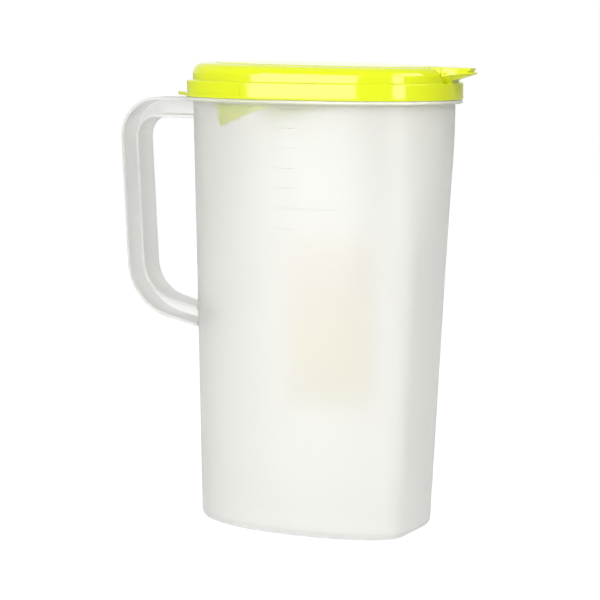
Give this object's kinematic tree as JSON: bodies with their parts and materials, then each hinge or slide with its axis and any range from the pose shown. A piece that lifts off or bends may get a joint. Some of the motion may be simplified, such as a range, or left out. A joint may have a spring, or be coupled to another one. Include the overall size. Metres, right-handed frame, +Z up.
{
  "type": "plastic water jug",
  "caption": "Tall frosted plastic water jug with an oval body, side handle, lime green lid with a pouring beak, and a plain label on the back.",
  "frame": {"origin": "middle of the flat base, on the surface the jug stands on", "axes": "+Z up, the tallest way; +X towards the pouring beak, with the handle at -X; +Y towards the back wall that carries the label, the narrowest way"},
  "size_m": [0.2129, 0.0878, 0.2578],
  "materials": {
    "frosted_plastic": "translucent frosted natural polypropylene, satin",
    "lime_plastic": "moulded lime green polypropylene, fairly glossy",
    "label_film": "thin printed film, blank cream fading to peach"
  },
  "bodies": {
    "root": {"jug": "frosted_plastic", "lid": "lime_plastic", "label": "label_film"}
  },
  "joints": []
}
